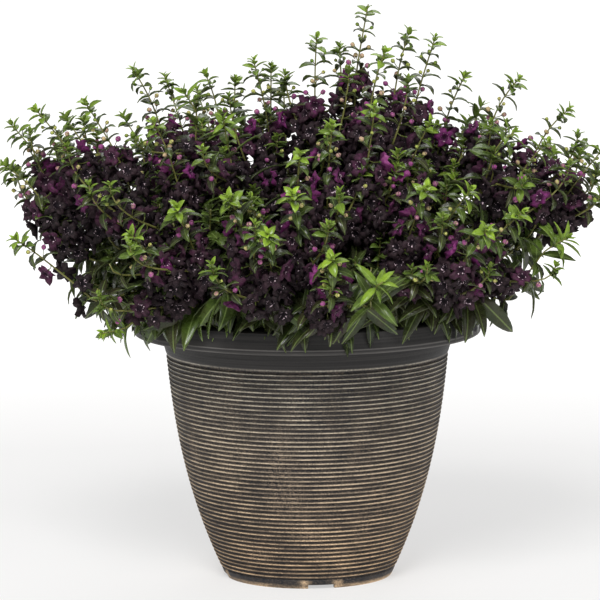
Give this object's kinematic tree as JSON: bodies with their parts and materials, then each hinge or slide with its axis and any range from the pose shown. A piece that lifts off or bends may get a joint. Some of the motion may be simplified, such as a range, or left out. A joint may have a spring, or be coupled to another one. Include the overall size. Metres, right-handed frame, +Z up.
{
  "type": "potted angelonia",
  "caption": "Dark purple angelonia in a flared ribbed planter: upright spikes of five-lobed flowers with green tips, above narrow leaves that hang over the rim.",
  "frame": {"origin": "bottom centre of the bounding box, which is the middle of the pot's foot on the surface it stands on", "axes": "+Z up along the pot's axis, -Y towards the viewer of the picture, +X to that viewer's right"},
  "size_m": [0.5375, 0.5032, 0.5007],
  "materials": {
    "pot_plastic": "matte",
    "potting_soil": "matte",
    "foliage": "satin",
    "petals": "matte"
  },
  "bodies": {
    "root": {"pot": "pot_plastic", "soil": "potting_soil", "leafy_stems_1": "foliage", "leafy_stems_2": "foliage", "leafy_stems_3": "foliage", "leafy_stems_4": "foliage", "leafy_stems_5": "foliage", "leafy_stems_6": "foliage", "leafy_stems_7": "foliage", "leafy_stems_8": "foliage", "leafy_stems_9": "foliage", "leafy_stems_10": "foliage", "leafy_stems_11": "foliage", "leafy_stems_12": "foliage", "flower_head_1": "petals", "flower_head_2": "petals", "flower_head_3": "petals", "flower_head_4": "petals", "flower_head_5": "petals", "flower_head_6": "petals", "flower_head_7": "petals", "flower_head_8": "petals", "flower_head_9": "petals", "flower_head_10": "petals", "flower_head_11": "petals", "flower_head_12": "petals", "flower_head_13": "petals", "flower_head_14": "petals", "flower_head_15": "petals", "flower_head_16": "petals", "flower_head_17": "petals", "flower_head_18": "petals", "flower_head_19": "petals", "flower_head_20": "petals", "flower_head_21": "petals", "flower_head_22": "petals", "flower_head_23": "petals", "flower_head_24": "petals", "flower_head_25": "petals", "flower_head_26": "petals", "flower_head_27": "petals", "flower_head_28": "petals", "flower_head_29": "petals", "flower_head_30": "petals", "flower_head_31": "petals", "flower_head_32": "petals", "flower_head_33": "petals", "flower_head_34": "petals", "flower_head_35": "petals", "flower_head_36": "petals", "flower_head_37": "petals", "flower_head_38": "petals", "flower_head_39": "petals", "flower_head_40": "petals", "flower_head_41": "petals", "flower_head_42": "petals", "flower_head_43": "petals", "flower_head_44": "petals", "flower_head_45": "petals", "flower_head_46": "petals"}
  },
  "joints": []
}
